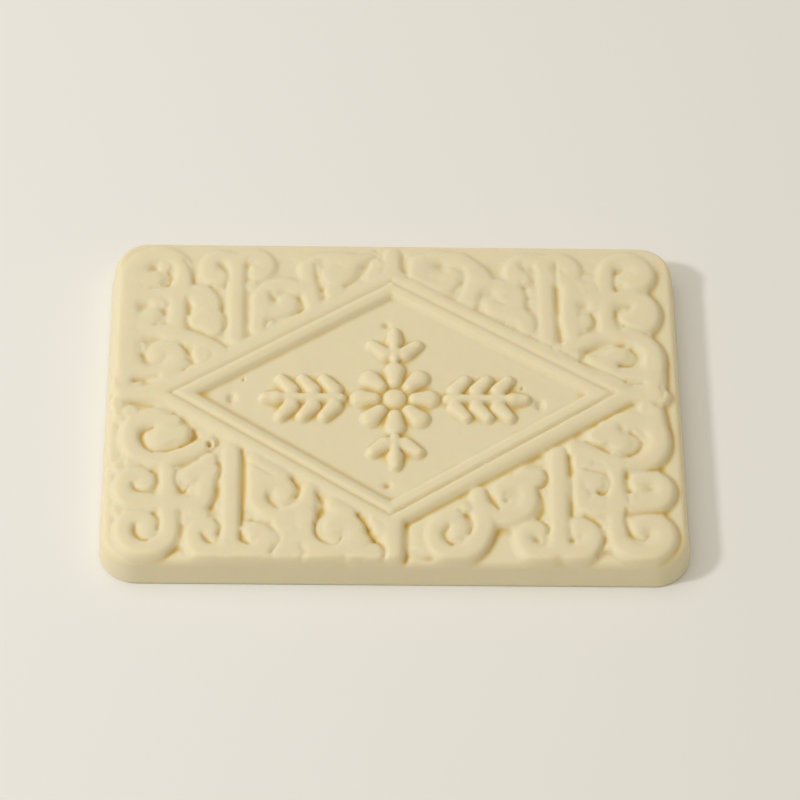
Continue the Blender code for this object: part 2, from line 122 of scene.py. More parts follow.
# Curls: centre, start and end angle in degrees, radii at even steps between them, and the half widths at
# the start and at the end.
CURLS = (
    # back right
    (51.4, 32.0, 190, -60, (5.4, 4.8, 4.1, 3.2, 1.9), 2.2, 3.1),
    (52.2, 21.4, 160, -140, (6.0, 4.6, 3.4, 3.0, 2.0), 2.2, 2.5),
    (50.0, 9.5, 115, -215, (6.2, 6.0, 5.8, 4.6, 4.8, 2.1), 2.2, 2.6),
    (40.8, 21.5, 60, 280, (5.0, 4.2, 2.9, 4.0, 2.4), 2.1, 2.4),
    (36.8, 32.8, 150, -110, (4.6, 3.3, 2.5, 2.2, 1.8), 2.1, 2.4),
    (28.2, 33.0, 30, 290, (4.6, 2.9, 2.1, 2.3, 1.6), 2.1, 2.3),
    (10.8, 32.8, 0, 330, (6.4, 3.9, 4.1, 5.2, 4.3, 2.2), 2.1, 3.0),
    (23.6, 25.4, 150, -124, (4.8, 3.4, 3.4, 3.0, 3.2), 2.1, 2.4),
    # back left
    (-51.2, 32.0, -20, 250, (6.4, 5.6, 4.8, 4.3, 2.2), 2.1, 2.7),
    (-52.8, 21.8, 40, 290, (6.3, 4.2, 4.2, 4.0, 2.2), 2.1, 2.6),
    (-50.2, 9.5, 65, 450, (6.2, 6.8, 5.6, 4.6, 4.0, 1.2), 2.2, 2.2),
    (-41.2, 21.6, 125, -105, (5.4, 4.6, 2.2, 3.8, 2.8), 2.1, 2.5),
    (-38.1, 32.8, 40, 290, (4.2, 3.2, 1.9, 2.2, 2.4), 2.1, 2.3),
    (-29.4, 33.6, 130, -80, (3.7, 2.7, 2.0, 1.6), 2.1, 2.3),
    (-24.2, 25.0, 40, 330, (4.6, 3.6, 4.1, 3.8, 1.8), 2.1, 2.5),
    (-12.2, 32.6, 175, -100, (6.0, 3.5, 3.5, 2.2, 2.2), 2.1, 2.7),
    # front left
    (-51.4, -35.0, 20, -310, (5.0, 5.0, 4.6, 4.4, 3.6, 1.5), 2.2, 2.2),
    (-52.2, -24.6, -30, -310, (5.8, 3.7, 4.2, 4.1, 3.4, 1.4), 2.2, 2.2),
    (-49.3, -11.1, -25, -300, (9.0, 6.6, 6.4, 6.0, 5.0, 3.2), 2.2, 2.4),
    (-41.4, -24.4, -125, 115, (5.0, 3.8, 2.4, 4.0, 3.2), 2.2, 2.2),
    (-38.3, -36.6, -45, -285, (4.4, 3.8, 3.0, 3.0, 2.2), 2.1, 2.2),
    (-28.6, -37.2, -140, 100, (4.2, 3.2, 2.3, 2.3, 2.0), 2.1, 2.4),
    (-23.8, -26.4, -40, -320, (5.6, 4.7, 4.3, 4.3, 3.4, 1.6), 2.2, 2.5),
    (-12.2, -35.0, 155, 455, (6.4, 6.0, 4.8, 4.6, 3.4, 1.6), 2.1, 3.0),
    # front right
    (51.8, -35.4, 175, 475, (5.8, 4.9, 4.4, 4.4, 3.7, 2.3), 2.3, 2.4),
    (52.2, -24.4, 210, 480, (6.2, 3.5, 3.9, 4.2, 3.2, 2.2), 2.2, 2.3),
    (49.6, -11.2, 240, 570, (7.2, 6.7, 6.2, 4.9, 4.4, 2.2), 2.2, 2.7),
    (41.6, -24.8, -45, -280, (5.2, 4.2, 3.1, 4.1, 2.5), 2.1, 2.4),
    (38.5, -36.6, 220, 455, (4.4, 3.2, 2.8, 3.0, 3.0), 2.1, 2.3),
    (29.4, -37.0, -40, -280, (4.4, 3.2, 2.5, 2.8, 2.5), 2.1, 2.2),
    (23.8, -26.6, 220, 500, (5.4, 4.6, 4.3, 4.3, 3.6, 2.2), 2.2, 2.2),
    (11.2, -35.4, 30, -340, (7.6, 6.2, 4.8, 3.2, 2.8, 3.4, 2.4), 2.2, 2.2),
)

# Stems: both ends, how far the middle bows to the left of the way from the first to the second, and the
# half widths at both ends.
STEMS = (
    # back right
    (46.4, 17.5, 46.3, 31.3, 0.2, 2.4, 2.2),
    (36.5, 12.2, 47.4, 15.1, 0.6, 2.0, 2.2),
    (43.0, 8.9, 45.9, 7.2, 0.0, 1.5, 2.4),
    (55.6, 9.0, 55.6, 2.0, 0.2, 2.4, 2.2),
    (33.2, 13.5, 33.0, 35.4, 0.0, 2.2, 2.2),
    (16.2, 24.5, 17.4, 31.5, -0.4, 2.4, 2.0),
    (5.5, 35.6, 5.3, 32.0, 0.0, 2.1, 2.2),
    (15.0, 36.2, 19.6, 30.6, 0.6, 1.9, 2.6),
    (18.3, 25.0, 19.5, 29.5, 0.0, 2.0, 2.4),
    (27.0, 23.0, 28.8, 17.8, 0.0, 2.0, 2.3),
    (38.2, 28.5, 38.4, 16.0, 0.0, 1.9, 1.9),
    (21.0, 24.6, 29.0, 19.6, 0.0, 2.1, 2.1),
    # back left
    (-46.5, 16.0, -45.8, 29.0, 0.2, 2.3, 2.3),
    (-37.5, 11.2, -47.6, 15.1, -0.6, 2.1, 2.2),
    (-57.0, 12.0, -56.8, 3.0, 0.3, 2.2, 2.0),
    (-57.1, 32.6, -57.2, 5.2, 0.0, 2.3, 2.3),
    (-40.2, 20.0, -39.4, 18.2, 0.0, 2.4, 2.9),
    (-33.8, 14.5, -33.8, 35.4, 0.0, 2.1, 2.1),
    (-17.3, 23.5, -18.6, 33.5, 0.0, 2.2, 2.2),
    (-28.6, 25.0, -29.0, 17.3, 0.0, 2.1, 2.1),
    (-10.0, 35.5, -4.6, 36.1, 0.0, 2.2, 1.4),
    # front left
    (-46.8, -19.0, -46.7, -33.0, 0.0, 2.3, 2.3),
    (-38.9, -13.5, -45.6, -17.0, 0.0, 1.6, 1.9),
    (-48.5, -11.5, -44.6, -10.8, 0.0, 3.1, 2.2),
    (-34.0, -15.5, -33.8, -38.5, 0.0, 2.2, 2.2),
    (-28.5, -27.0, -28.8, -20.0, 0.0, 2.1, 2.1),
    (-28.2, -18.8, -23.4, -21.8, 0.0, 1.9, 1.9),
    (-17.8, -25.3, -18.4, -33.0, 0.0, 2.0, 2.2),
    (-12.6, -28.6, -9.4, -30.7, 0.0, 1.6, 1.6),
    # front right
    (46.2, -18.5, 46.3, -34.5, 0.0, 2.3, 2.3),
    (37.8, -13.8, 46.0, -17.6, 0.3, 2.0, 2.2),
    (55.8, -10.0, 55.4, -4.5, 0.0, 2.2, 1.9),
    (34.5, -15.3, 34.1, -38.5, 0.0, 2.2, 2.2),
    (28.2, -24.0, 29.6, -21.0, 0.0, 2.2, 2.3),
    (17.6, -25.5, 18.2, -33.0, 0.0, 2.0, 2.2),
    (16.5, -38.5, 19.0, -33.5, 0.0, 2.2, 2.2),
    (9.8, -32.4, 14.6, -29.2, 0.0, 1.6, 1.6),
    # bars from the lozenge's corners to the edges
    (-57.0, -0.5, -45.0, -0.4, 0.0, 2.0, 2.2),
    (57.0, 0.0, 45.0, 0.0, 0.0, 1.8, 2.0),
    (-0.2, 30.0, -0.2, 37.2, 0.0, 2.2, 2.2),
    (-0.3, -32.0, -0.3, -40.3, 0.0, 2.3, 2.3),
)

# Places where the curls have run together: centre, radius and height.
FILLS = (
    # back right
    (49.0, 26.0, 2.4, 1.55),
    (42.5, 28.0, 2.8, 1.5),
    (42.8, 30.2, 3.2, 1.2),
    (43.2, 32.4, 3.2, 0.8),
    (38.8, 27.0, 2.4, 1.5),
    (39.9, 28.4, 3.4, 1.55),
    (35.6, 30.2, 1.5, 1.2),
    (40.8, 23.4, 2.2, 1.4),
    (49.3, 22.8, 1.8, 1.2),
    (48.6, 31.0, 2.2, 1.25),
    (35.6, 34.2, 1.6, 1.3),
    (52.8, 3.4, 2.8, 1.35),
    (8.4, 32.4, 3.0, 1.5),
    (10.8, 32.4, 3.2, 1.5),
    (14.4, 31.4, 2.0, 1.35),
    (13.8, 28.8, 1.8, 1.15),
    (21.8, 26.2, 3.4, 1.55),
    (24.4, 26.4, 3.2, 1.58),
    (27.4, 31.2, 2.4, 1.55),
    (30.8, 15.4, 1.6, 1.2),
    (18.2, 22.6, 1.6, 1.2),
    (22.6, 19.9, 1.8, 1.25),
    (25.2, 18.4, 1.8, 1.25),
    (27.8, 16.9, 1.8, 1.25),
    (30.5, 21.8, 1.5, 1.15),
    (25.8, 20.6, 1.7, 1.5),
    (30.0, 27.4, 1.8, 1.15),
    (30.2, 24.4, 1.8, 1.15),
    (24.6, 21.6, 1.9, 1.5),
    (43.6, 23.6, 1.8, 1.5),
    (41.0, 9.8, 2.2, 1.1),
    (38.8, 10.5, 2.0, 1.4),
    (53.4, 21.5, 3.2, 1.58),
    # back left
    (-43.5, 14.0, 2.8, 1.3),
    (-57.3, 27.0, 2.6, 1.2),
    (-57.3, 16.2, 2.6, 1.3),
    (-55.6, 27.6, 2.2, 1.5),
    (-56.8, 36.2, 2.8, 1.0),
    (-58.0, 33.4, 2.4, 0.9),
    (-4.0, 31.6, 2.8, 1.5),
    (-3.4, 34.4, 2.2, 1.5),
    (-12.4, 27.6, 2.8, 1.5),
    (-10.2, 28.8, 2.2, 1.35),
    (-15.9, 29.5, 2.0, 1.2),
    (-12.8, 31.8, 3.6, 1.58),
    (-6.4, 32.2, 2.2, 1.3),
    (-4.8, 34.6, 2.0, 1.3),
    (-8.4, 30.2, 2.0, 1.3),
    (-3.2, 37.0, 1.8, 1.25),
    (-22.8, 32.6, 2.4, 0.75),
    (-16.0, 32.8, 2.0, 1.25),
    (-27.2, 18.6, 2.2, 1.35),
    (-13.4, 26.6, 2.0, 1.5),
    (-50.8, 19.6, 2.4, 1.5),
    (-54.8, 3.0, 2.4, 1.3),
    (-56.4, 2.4, 2.2, 1.1),
    (-58.8, 2.2, 2.2, 1.4),
    (-30.6, 28.6, 1.8, 1.2),
    (-41.8, 24.4, 2.6, 1.56),
    (-50.2, 23.2, 1.9, 1.55),
    (-54.6, 11.6, 2.6, 1.45),
    (-55.0, 8.4, 2.0, 1.35),
    (-49.6, 33.4, 1.8, 1.35),
    (-55.4, 4.8, 2.0, 1.4),
    (-9.0, 29.6, 2.2, 1.25),
    (-21.5, 28.5, 2.4, 1.2),
    (-51.0, 23.8, 2.0, 1.45),
    (-41.0, 9.6, 2.8, 1.6),
    (-44.0, 6.6, 1.8, 1.4),
    (-38.6, 17.2, 3.0, 1.55),
    # front left
    (-55.4, -5.4, 2.2, 1.45),
    (-54.4, -18.3, 2.4, 1.2),
    (-57.2, -18.9, 2.0, 0.8),
    (-56.8, -29.8, 2.2, 0.8),
    (-57.6, -5.6, 2.2, 1.2),
    (-58.6, -3.4, 2.2, 1.35),
    (-39.8, -31.4, 1.9, 1.3),
    (-54.6, -29.9, 2.2, 1.2),
    (-46.2, -7.6, 2.0, 1.55),
    (-41.0, -30.8, 2.2, 1.4),
    (-27.6, -20.6, 2.8, 1.6),
    (-29.0, -17.4, 2.0, 1.35),
    (-26.8, -18.9, 2.0, 1.35),
    (-24.4, -20.3, 2.0, 1.35),
    (-6.6, -37.2, 2.2, 1.5),
    (-22.4, -33.0, 4.0, 1.45),
    (-22.0, -37.0, 4.6, 1.5),
    (-22.0, -40.6, 4.2, 1.4),
    (-8.0, -40.2, 3.2, 1.5),
    (-4.6, -40.8, 3.0, 1.45),
    (-3.6, -32.4, 2.2, 1.5),
    (-3.2, -34.8, 1.8, 1.4),
    (-43.0, -32.0, 2.8, 1.2),
    (-38.8, -17.6, 2.6, 1.5),
    (-38.4, -20.2, 2.5, 1.58),
    (-40.8, -19.6, 2.2, 1.4),
    (-34.0, -41.8, 2.8, 1.5),
    (-26.4, -42.6, 2.2, 1.4),
    (-16.0, -42.0, 3.4, 1.45),
    # front right
    (43.4, -10.6, 3.2, 1.56),
    (46.8, -15.2, 1.6, 1.25),
    (45.4, -8.8, 3.2, 1.55),
    (48.6, -6.6, 2.8, 1.5),
    (53.8, -3.6, 2.6, 1.4),
    (49.3, -26.6, 2.0, 1.4),
    (39.6, -17.2, 3.0, 1.5),
    (36.6, -35.6, 1.8, 1.25),
    (42.5, -19.6, 2.6, 1.4),
    (41.8, -23.2, 2.4, 1.58),
    (42.4, -27.4, 2.6, 1.58),
    (43.0, -32.5, 2.2, 1.0),
    (44.3, -34.5, 2.2, 1.3),
    (24.4, -22.8, 2.8, 1.5),
    (27.4, -21.3, 3.2, 1.55),
    (48.6, -22.8, 2.0, 1.15),
    (48.4, -32.6, 2.0, 1.15),
    (6.2, -37.0, 4.4, 0.85),
)

# Creases where two turns of a curl meet, or a curl meets a ridge: half width, depth, and the points that
# the crease runs through.
CREASES = (
    # back right
    (0.5, 0.35, ((48.7, 27.8), (48.3, 29.4), (48.2, 31.5), (48.6, 33.8))),
    (0.65, 0.5, ((48.2, 22.3), (48.3, 20.2), (49.8, 18.6))),
    (0.3, 0.4, ((49.8, 18.6), (52.0, 17.6), (54.5, 16.6))),
    (1.0, 0.5, ((40.6, 10.0), (42.0, 12.0), (44.3, 13.4), (46.6, 13.8), (48.6, 13.4))),
    (0.8, 0.3, ((43.6, 13.0), (46.2, 13.9), (49.6, 13.4))),
    (0.7, 0.6, ((51.2, 12.2), (52.1, 10.9), (52.1, 9.3), (50.9, 8.1), (48.6, 7.9))),
    (0.5, 0.4, ((42.8, 21.7), (43.7, 20.0), (43.2, 18.4), (42.2, 17.4))),
    (0.55, 0.3, ((28.4, 33.9), (29.8, 32.3), (30.5, 30.4))),
    (0.5, 0.4, ((35.5, 35.0), (35.5, 28.0), (35.7, 22.0), (35.9, 17.0), (36.2, 12.8))),
    (0.6, 0.2, ((14.8, 34.1), (15.7, 32.3), (15.3, 30.3), (13.6, 28.0))),
    (0.5, 0.3, ((22.3, 24.8), (24.1, 24.1))),
    (0.9, 0.4, ((19.3, 26.5), (18.4, 23.2))),
    (0.5, 0.2, (
        (27.8, 30.2), (28.9, 28.2), (29.4, 25.4), (29.4, 23.7), (30.6, 21.7), (31.3, 19.7), (31.0, 17.6),
    )),
    (0.6, 0.2, ((2.4, 37.6), (2.4, 34.6), (3.2, 31.4))),
    (0.42, 0.5, ((3.4, 31.2), (12.0, 26.0), (22.0, 19.9), (34.0, 12.6))),
    (0.42, 0.5, ((36.0, 11.5), (43.0, 7.3), (49.6, 3.6))),
    (0.7, 0.45, ((49.6, 3.7), (51.2, 3.3), (53.0, 3.2))),
    (0.3, 0.4, ((57.2, 3.2), (56.9, 1.8), (57.5, 0.9), (57.2, -0.4))),
    # back left
    (0.55, 0.45, ((-48.4, 31.8), (-47.9, 30.2), (-49.0, 28.3), (-52.2, 27.6))),
    (0.6, 0.35, ((-50.2, 22.2), (-49.1, 21.1), (-49.7, 19.2), (-51.0, 17.7))),
    (0.8, 0.15, ((-54.2, 12.6), (-52.3, 14.3), (-48.0, 13.6))),
    (0.55, 0.5, ((-45.0, 35.0), (-43.6, 32.8), (-42.9, 29.4))),
    (0.45, 0.25, ((-53.7, 12.0), (-53.6, 10.0), (-52.3, 8.1), (-50.6, 7.5), (-49.2, 8.0))),
    (0.5, 0.45, ((-45.2, 12.2), (-43.3, 10.0), (-42.8, 8.0), (-44.6, 5.6))),
    (0.4, 0.3, ((-44.4, 19.3), (-43.5, 17.2), (-40.0, 15.2), (-37.0, 13.3), (-35.6, 11.7))),
    (0.6, 0.35, ((-44.4, 24.8), (-43.9, 23.0), (-43.9, 21.0))),
    (0.6, 0.5, ((-39.3, 28.2), (-37.6, 26.1), (-36.8, 23.7), (-36.8, 21.6))),
    (0.4, 0.35, ((-36.6, 21.3), (-35.7, 19.6), (-35.7, 17.6), (-36.6, 16.2))),
    (0.4, 0.3, ((-36.9, 33.3), (-35.6, 31.7), (-35.8, 29.7), (-36.3, 28.2))),
    (0.7, 0.15, ((-31.6, 35.4), (-31.7, 28.0), (-31.6, 22.0), (-30.9, 15.3))),
    (0.6, 0.4, ((-26.5, 26.6), (-25.3, 24.5))),
    (0.5, 0.5, ((-20.2, 25.3), (-19.2, 23.0), (-20.0, 21.6))),
    (0.5, 0.35, ((-20.2, 21.4), (-23.0, 20.3), (-26.6, 19.1), (-27.4, 17.6))),
    (0.6, 0.35, ((-16.8, 34.2), (-16.5, 31.2), (-15.5, 28.4), (-14.6, 25.8))),
    (1.0, 0.6, ((-3.6, 37.0), (-5.2, 35.2), (-6.8, 32.2), (-8.2, 30.2), (-10.0, 28.8))),
    (0.9, 0.65, ((-55.0, 2.8), (-52.8, 3.3), (-50.2, 4.0))),
    (0.4, 0.4, ((-3.8, 38.7), (-2.2, 37.3), (-2.7, 36.0))),
    # front left
    (0.6, 0.55, ((-53.6, -34.2), (-53.5, -35.8), (-52.5, -37.3), (-51.0, -37.8))),
    (0.5, 0.55, ((-49.8, -31.3), (-48.6, -32.9), (-48.9, -35.0))),
    (0.7, 0.25, ((-56.2, -19.0), (-54.4, -19.1), (-52.5, -19.4), (-50.6, -20.6))),
    (0.7, 0.25, ((-56.0, -29.8), (-54.0, -30.1), (-52.0, -30.2), (-49.8, -31.3))),
    (0.4, 0.5, (
        (-54.5, -23.7), (-53.7, -25.1), (-52.0, -25.7), (-50.4, -25.3), (-49.3, -23.4), (-49.6, -21.3),
        (-50.6, -20.6),
    )),
    (0.6, 0.5, ((-50.6, -9.4), (-52.3, -10.3), (-52.9, -11.8), (-52.1, -14.2), (-50.6, -15.5))),
    (0.9, 0.3, ((-55.4, -2.9), (-53.5, -3.3), (-51.0, -3.7))),
    (0.4, 0.35, ((-50.6, -15.5), (-47.5, -15.3), (-44.5, -14.1))),
    (0.45, 0.6, ((-44.5, -14.1), (-42.5, -12.6), (-41.5, -10.9))),
    (0.4, 0.35, ((-46.4, -5.6), (-44.0, -7.5), (-42.3, -9.4), (-41.5, -10.9))),
    (0.8, 0.5, ((-42.0, -9.9), (-42.3, -12.0))),
    (0.4, 0.4, ((-37.9, -11.0), (-36.9, -12.2), (-36.9, -13.4), (-37.7, -14.6))),
    (0.75, 0.5, ((-38.5, -15.4), (-41.0, -17.0), (-43.5, -18.4), (-45.8, -19.4))),
    (0.35, 0.35, ((-36.9, -17.4), (-36.1, -19.6), (-36.4, -22.1))),
    (0.7, 0.5, ((-36.9, -22.6), (-36.9, -26.3), (-37.9, -29.4))),
    (0.4, 0.5, ((-45.3, -20.2), (-45.5, -22.8), (-44.6, -25.0), (-43.6, -25.5), (-42.6, -24.1))),
    (0.45, 0.6, ((-39.7, -36.2), (-38.9, -37.5), (-37.9, -38.1))),
    (0.45, 0.55, ((-37.0, -32.6), (-36.0, -34.2), (-36.3, -36.3))),
    (0.5, 0.5, ((-31.7, -35.5), (-31.3, -37.4), (-30.3, -38.3))),
    (0.6, 0.5, ((-31.8, -15.0), (-31.3, -18.5), (-31.3, -26.0), (-31.6, -33.6))),
    (0.5, 0.25, ((-44.2, -30.8), (-43.9, -35.0), (-44.5, -38.8), (-46.8, -41.2))),
    (0.75, 0.55, ((-26.2, -26.8), (-25.5, -28.3), (-24.0, -29.7))),
    (0.65, 0.55, ((-21.1, -22.3), (-19.8, -24.2), (-19.6, -25.3), (-20.2, -26.6))),
    (0.3, 0.4, ((-30.0, -18.4), (-27.5, -20.0), (-25.2, -21.7))),
    (0.6, 0.45, ((-16.2, -25.8), (-15.1, -27.3), (-14.8, -29.2), (-15.5, -31.3), (-16.4, -33.3))),
    (0.5, 0.35, (
        (-29.6, -32.4), (-27.5, -33.2), (-24.8, -35.0), (-23.6, -37.2), (-24.4, -39.2), (-25.4, -40.4),
    )),
    (0.4, 0.5, (
        (-16.4, -33.3), (-16.2, -35.8), (-14.9, -37.6), (-13.0, -38.5), (-11.5, -38.2), (-10.9, -36.8),
    )),
    (0.5, 0.7, ((-7.4, -31.0), (-6.2, -32.6), (-5.3, -34.6))),
    (0.9, 0.9, ((-5.3, -34.6), (-4.7, -35.8), (-4.1, -37.0))),
    (0.9, 0.45, ((2.7, -33.4), (2.8, -37.5), (2.4, -42.0))),
    (0.35, 0.7, ((-4.1, -37.0), (-2.6, -38.4), (-2.0, -39.6), (-2.0, -41.4))),
    # front right
    (0.5, 0.45, ((48.4, -29.2), (48.0, -31.8), (48.7, -34.8), (50.0, -36.2), (51.6, -36.8), (52.6, -35.8))),
    (0.6, 0.4, ((48.8, -20.2), (48.6, -22.5), (49.3, -24.8))),
    (1.0, 0.5, ((48.8, -19.6), (51.2, -19.3), (53.6, -19.0), (55.8, -18.6))),
    (1.0, 0.5, ((49.0, -29.9), (51.4, -30.0), (53.8, -29.9), (56.0, -29.6))),
    (0.3, 0.25, ((48.8, -25.3), (48.9, -27.8))),
    (0.55, 0.6, ((50.0, -9.7), (51.6, -10.9), (52.2, -12.4), (51.2, -14.3), (49.5, -15.4))),
    (0.4, 0.5, ((45.4, -15.0), (43.0, -13.3), (40.5, -11.8))),
    (0.4, 0.45, (
        (38.5, -18.5), (41.0, -19.5), (43.0, -19.9), (44.4, -20.5), (45.1, -22.2), (44.8, -24.2),
        (43.6, -25.4), (42.5, -25.1),
    )),
    (0.5, 0.55, ((36.2, -13.8), (36.9, -17.0), (37.1, -22.0), (37.1, -27.0), (36.9, -30.6))),
    (0.45, 0.25, ((36.4, -34.0), (36.5, -35.5), (37.0, -37.0))),
    (0.6, 0.5, ((39.6, -30.8), (42.2, -32.8), (43.6, -35.4), (43.2, -38.0), (41.8, -40.4))),
    (1.0, 0.5, ((50.6, -2.2), (40.0, -9.0), (30.0, -15.5), (20.0, -22.0), (10.0, -28.5), (3.0, -33.0))),
    (0.7, 0.3, ((4.2, -39.8), (6.0, -41.0), (8.2, -41.2))),
    (0.4, 0.5, ((30.8, -32.3), (32.0, -33.8), (31.8, -35.3))),
    (0.5, 0.5, ((19.3, -24.6), (20.5, -26.8), (21.8, -29.5))),
    (0.35, 0.5, ((31.6, -19.3), (32.2, -21.3), (31.5, -23.2), (30.2, -24.0))),
    (0.6, 0.4, ((29.8, -24.2), (30.9, -27.0), (30.9, -29.5), (30.0, -31.5))),
    (0.7, 0.55, ((11.3, -33.8), (10.3, -35.3), (10.5, -36.8), (12.0, -38.2))),
    (0.55, 0.5, ((13.6, -30.0), (15.5, -31.3), (16.3, -33.2), (15.7, -35.6))),
)

# Dips at the curls' hearts, and last the two smaller holes in the field: place, radius and depth.
DIPS = (
    (49.2, 34.0, 1.6, 0.4),
    (49.3, 23.2, 1.8, 0.4),
    (41.3, 23.6, 1.3, 0.5),
    (28.1, 34.8, 0.9, 0.4),
    (10.4, 34.2, 1.7, 0.7),
    (20.8, 26.8, 1.7, 0.6),
    (-51.7, 33.2, 1.0, 0.5),
    (-53.9, 22.8, 1.4, 0.3),
    (-37.3, 34.3, 0.9, 0.25),
    (-15.4, 34.8, 1.2, 0.4),
    (-24.0, 26.6, 1.0, 0.25),
    (53.4, -23.6, 1.4, 0.25),
    (48.1, -8.5, 0.9, 0.4),
    (43.0, -25.3, 0.7, 0.4),
    (36.8, -36.9, 0.6, 0.4),
    (29.3, -36.8, 1.3, 0.5),
    (23.3, -25.7, 0.5, 0.35),
    (23.3, -27.3, 0.6, 0.45),
    (52.3, -34.8, 1.1, 0.25),
    (-1.5, 18.7, 0.85, 0.7),
    (-1.4, -23.1, 0.85, 0.7),
)

# The ornament in the field: a rosette, and sprays of leaves that point away from it.
ROSETTE_CENTRE = (0.3, -1.0)
PETALS = 8
PETAL_REACH = (4.4, 7.4)
PETAL_HALF_WIDTHS = (1.2, 1.9)
BOSS_RADIUS = 2.2
LEAF_PITCH = 4.6
LEAF_OFFSET = 0.3
LEAF_ROOT = 2.1
LEAF_REACH = (2.2, 2.7)
LEAF_HALF_WIDTHS = (1.5, 1.1)
SPRAY_HALF_WIDTHS = (0.9, 0.9)
TIP_LENGTH = 2.4
TIP_HALF_WIDTHS = (1.5, 1.0)
ORNAMENT_HEIGHT = 1.3
ORNAMENT_FOOT = 0.3
SPRAYS = ((0, 11.4, 3), (90, 10.4, 1), (180, 11.4, 3), (270, 10.4, 1))  # direction, start and pairs of leaves

# Crumbs left on the face, with their sizes.
CRUMBS = (
    (-48.6, 29.4, 0.3),
    (-49.3, 28.6, 0.26),
    (-50.3, 28.1, 0.3),
    (-51.6, 27.9, 0.24),
    (-48.3, 31.0, 0.22),
    (19.2, -17.9, 0.3),
    (19.9, -17.3, 0.24),
    (21.6, -16.4, 0.22),
    (12.6, -22.0, 0.24),
    (13.5, -34.2, 0.3),
    (41.6, 27.9, 0.24),
    (42.6, 28.2, 0.2),
    (-31.3, 4.0, 0.24),
)

# The two larger holes pricked in the field, with their radii along and across the slab.
PRICKS = ((-34.3, -1.1, 0.85, 1.15), (31.1, -2.1, 0.85, 1.15))
PRICK_DEPTH = 1.0

# Air bubbles that broke open, with their radii. In radii, they are this broad across the slab and this deep.
BUBBLES = ((-38.6, -13.6, 0.6), (-31.9, 3.9, 0.3), (27.4, 2.2, 0.3))
BUBBLE_BREADTH = 1.3
BUBBLE_DEPTH = 2

# How steep the sides of each are: 2 is a bell, and more is steeper.
DIP_STEEPNESS = 2
PRICK_STEEPNESS = 2.4
CRUMB_STEEPNESS = 4
BUBBLE_STEEPNESS = 4

# The finish: how many turns a metre each pattern has, and how much of it shows.
CLOUDS = 60
CLOUD_COLOUR = (0.9, 0.83, 0.62)
CLOUD_SHARE = 0.25
GRAIN = 900
GRAIN_SHARE = 0.35
WAVES = 220
SKIN_STRENGTH = 0.25
SKIN_DEPTH = 0.12
GLOSS_PATCHES = 130
GLOSS_SPREAD = 0.16
REFRACTION = 1.46
SCATTER_RADII = (1.0, 0.72, 0.38)
SCATTER_REACH = 1.4

# The camera, in millimetres: the place that it looks at, its turn and roll, its distance and its lens.
CAMERA_TARGET = (0.945, -4.52, 13.05)
CAMERA_YAW = math.radians(-2.216)
CAMERA_ROLL = math.radians(2.30)
CAMERA_DISTANCE = 750.1
CAMERA_LENS = 160.74
SENSOR_WIDTH = 36

# The floor and the lights: sizes and distances in metres, and directions as azimuth and height in degrees.
FLOOR_HALF_SIZE = 6
FLOOR_ROUGHNESS = 0.9
FILL_COLOUR = (1.0, 0.89, 0.68)
KEY_WAY = (191, 40)
KEY_DISTANCE = 1.2
KEY_SIZE = 0.16
OVERHEAD_WAY = (150, 75)
OVERHEAD_DISTANCE = 0.8
OVERHEAD_SIZE = 1.1


def metres(value):
    """A length in millimetres as Blender's metres."""
    return value * MM


class SlabShape(bpy.types.PropertyGroup):
    """Sizes of the moulded slab."""

    bead_height: bpy.props.FloatProperty(
        name="Bead height",
        description="Height of the curls and ridges over the ground",
        default=metres(BEAD_HEIGHT),
        unit="LENGTH",
    )
    unevenness: bpy.props.FloatProperty(
        name="Unevenness",
        description="How far the surface wanders from its true shape",
        default=metres(WANDER_HEIGHT),
        unit="LENGTH",
    )


class ChocolateFinishAndShade(bpy.types.PropertyGroup):
    """Colours and gloss of the white chocolate, and the colour of the painted shade in its creases."""

    colour: bpy.props.FloatVectorProperty(
        name="Colour",
        description="Colour of the open surface",
        default=(0.803, 0.730, 0.513),
        subtype="COLOR",
        min=0,
        max=1,
    )
    # The colour of the painted shade in the creases.
    painted_shade_colour: bpy.props.FloatVectorProperty(
        name="Deep colour",
        description="Colour in the creases",
        default=(0.67, 0.45, 0.07),
        subtype="COLOR",
        min=0,
        max=1,
    )
    roughness: bpy.props.FloatProperty(
        name="Roughness",
        description="Roughness of the moulded face",
        default=0.55,
        min=0,
        max=1,
    )
    scatter: bpy.props.FloatProperty(
        name="Scatter",
        description="Share of light that enters the chocolate",
        default=0.85,
        subtype="FACTOR",
        min=0,
        max=1,
    )


class StageSettings(bpy.types.PropertyGroup):
    """The floor, the lights and the camera."""

    floor_colour: bpy.props.FloatVectorProperty(
        name="Floor colour",
        description="Colour of the plain floor",
        default=(0.86, 0.86, 0.85),
        subtype="COLOR",
        min=0,
        max=1,
    )
    key_power: bpy.props.FloatProperty(
        name="Key light",
        description="Power of the soft light on the left",
        default=5.3,
        unit="POWER",
    )
    overhead_power: bpy.props.FloatProperty(
        name="Overhead light",
        description="Power of the broad light overhead",
        default=2.4,
        unit="POWER",
    )
    sky: bpy.props.FloatProperty(
        name="Fill",
        description="Strength of the light from all round",
        default=0.41,
        min=0,
    )
    elevation: bpy.props.FloatProperty(
        name="Elevation",
        description="Height of the camera's view over the floor",
        default=math.radians(54),
        subtype="ANGLE",
    )


def cubic(values, at):
    """Smooth line through values at 0, 1, 2 and so on, read at these places."""
    v = np.asarray(values, float)
    v = np.concatenate([[2 * v[0] - v[1]], v, [2 * v[-1] - v[-2]]])
    i = np.clip(np.floor(at).astype(int), 0, len(values) - 2)
    u = at - i
    before, here, after, beyond = v[i], v[i + 1], v[i + 2], v[i + 3]
    slope = after - before
    square = 2 * before - 5 * here + 4 * after - beyond
    cube = 3 * here - before - 3 * after + beyond
    return 0.5 * (2 * here + u * (slope + u * (square + u * cube)))


